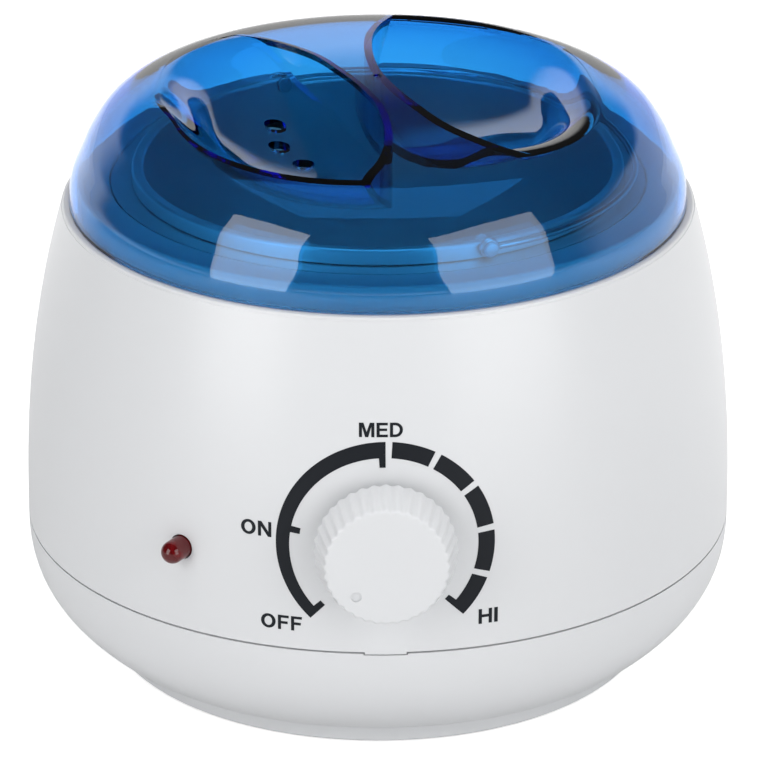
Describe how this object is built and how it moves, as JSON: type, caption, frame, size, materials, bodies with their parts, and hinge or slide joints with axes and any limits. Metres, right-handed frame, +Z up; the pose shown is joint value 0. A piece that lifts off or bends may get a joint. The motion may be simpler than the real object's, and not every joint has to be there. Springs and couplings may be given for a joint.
{
  "type": "wax heater",
  "caption": "Round pot heater for depilatory wax with a lift-out pot, a clear gripped lid, a rotary thermostat and a pilot lamp.",
  "frame": {"origin": "centre of the bounding box's footprint on the surface that the feet stand on; the shells' upright axis lies 5.3 mm behind it, because the knob stands out in front", "axes": "+Z up, -Y towards the control side, +X to the right of someone facing the knob"},
  "size_m": [0.18, 0.1906, 0.148],
  "materials": {
    "shell": "gloss white moulding",
    "lid": "clear blue moulding",
    "aluminium": "spun",
    "steel": "zinc plated",
    "rubber": "matt",
    "band_skin": "dull",
    "wrap": "glass fibre",
    "bakelite": "moulded phenolic",
    "lens": "clear red moulding",
    "lamp_glass": "clear",
    "terminal": "moulded",
    "brass": "machined"
  },
  "bodies": {
    "housing": {"upper_housing": "shell", "base_housing": "shell", "foot_1": "rubber", "foot_2": "rubber", "foot_3": "rubber", "foot_4": "rubber", "base_screw_1": "steel", "base_screw_2": "steel", "base_screw_3": "steel", "base_screw_4": "steel", "heater_well": "aluminium", "well_bridge": "steel", "well_nut": "steel", "heater_band": "band_skin", "band_screw": "steel", "band_nut": "steel", "insulation_wrap": "wrap", "thermal_cutoff": "bakelite", "cutoff_clip": "steel", "clip_screw_1": "steel", "clip_screw_2": "steel", "thermostat_body": "bakelite", "thermostat_bracket": "steel", "bracket_screw_1": "steel", "bracket_screw_2": "steel", "lamp_lens": "lens", "lamp_retainer": "rubber", "neon_lamp": "lamp_glass", "cord_gland": "rubber", "terminal_block": "terminal", "terminal_screw_1": "brass", "terminal_screw_2": "brass", "terminal_screw_3": "brass"},
    "knob": {"knob": "shell", "thermostat_shaft": "steel"},
    "pot": {"wax_pot": "aluminium", "pivot_rivet_front": "aluminium", "pivot_rivet_back": "aluminium"},
    "bail": {"pot_handle": "steel"},
    "lid": {"lid": "lid"}
  },
  "joints": [
    {"name": "knob_turn", "type": "hinge", "parent": "housing", "child": "knob", "pos_m": [0, -0.09, 0.0632], "axis": [0, 1, 0], "range_deg": [0, 270]},
    {"name": "pot_lift", "type": "slide", "parent": "housing", "child": "pot", "axis": [0, 0, 1], "range_m": [0, 0.09]},
    {"name": "lid_lift", "type": "slide", "parent": "pot", "child": "lid", "axis": [0, 0, 1], "range_m": [0, 0.16]},
    {"name": "handle_swing", "type": "hinge", "parent": "pot", "child": "bail", "pos_m": [0, 0.00533, 0.1277], "axis": [0.4067, -0.9135, 0], "range_deg": [0, 90]}
  ],
  "couplings": [
    {"joint": "handle_swing", "follows": "lid_lift", "rad_per_m": 9.81}
  ]
}
